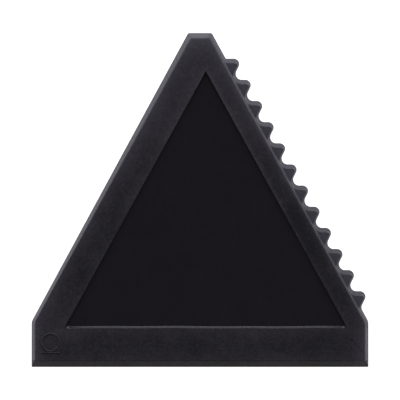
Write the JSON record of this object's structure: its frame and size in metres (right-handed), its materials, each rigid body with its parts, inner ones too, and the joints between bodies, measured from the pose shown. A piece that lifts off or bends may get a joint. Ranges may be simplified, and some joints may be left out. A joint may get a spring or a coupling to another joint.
{
  "type": "ice scraper",
  "caption": "Flat triangular hand-held ice scraper with a bevelled side blade, a base blade, a toothed ice-breaking side and a recessed middle panel.",
  "frame": {"origin": "middle of the outline's box on the back face, with the scraper lying on its back", "axes": "+Z out of the front face, +Y towards the cut-off apex, +X towards the toothed side"},
  "size_m": [0.119, 0.118, 0.0051],
  "materials": {
    "frame": "moulded black recycled polystyrene, fine matt texture",
    "panel": "moulded black recycled polystyrene, smooth satin panel"
  },
  "bodies": {
    "root": {"centre_panel": "panel", "left_rail": "frame", "right_rail": "frame", "base_rail": "frame", "side_blade": "frame", "toothed_edge": "frame", "base_blade": "frame", "mould_mark": "frame"}
  },
  "joints": []
}
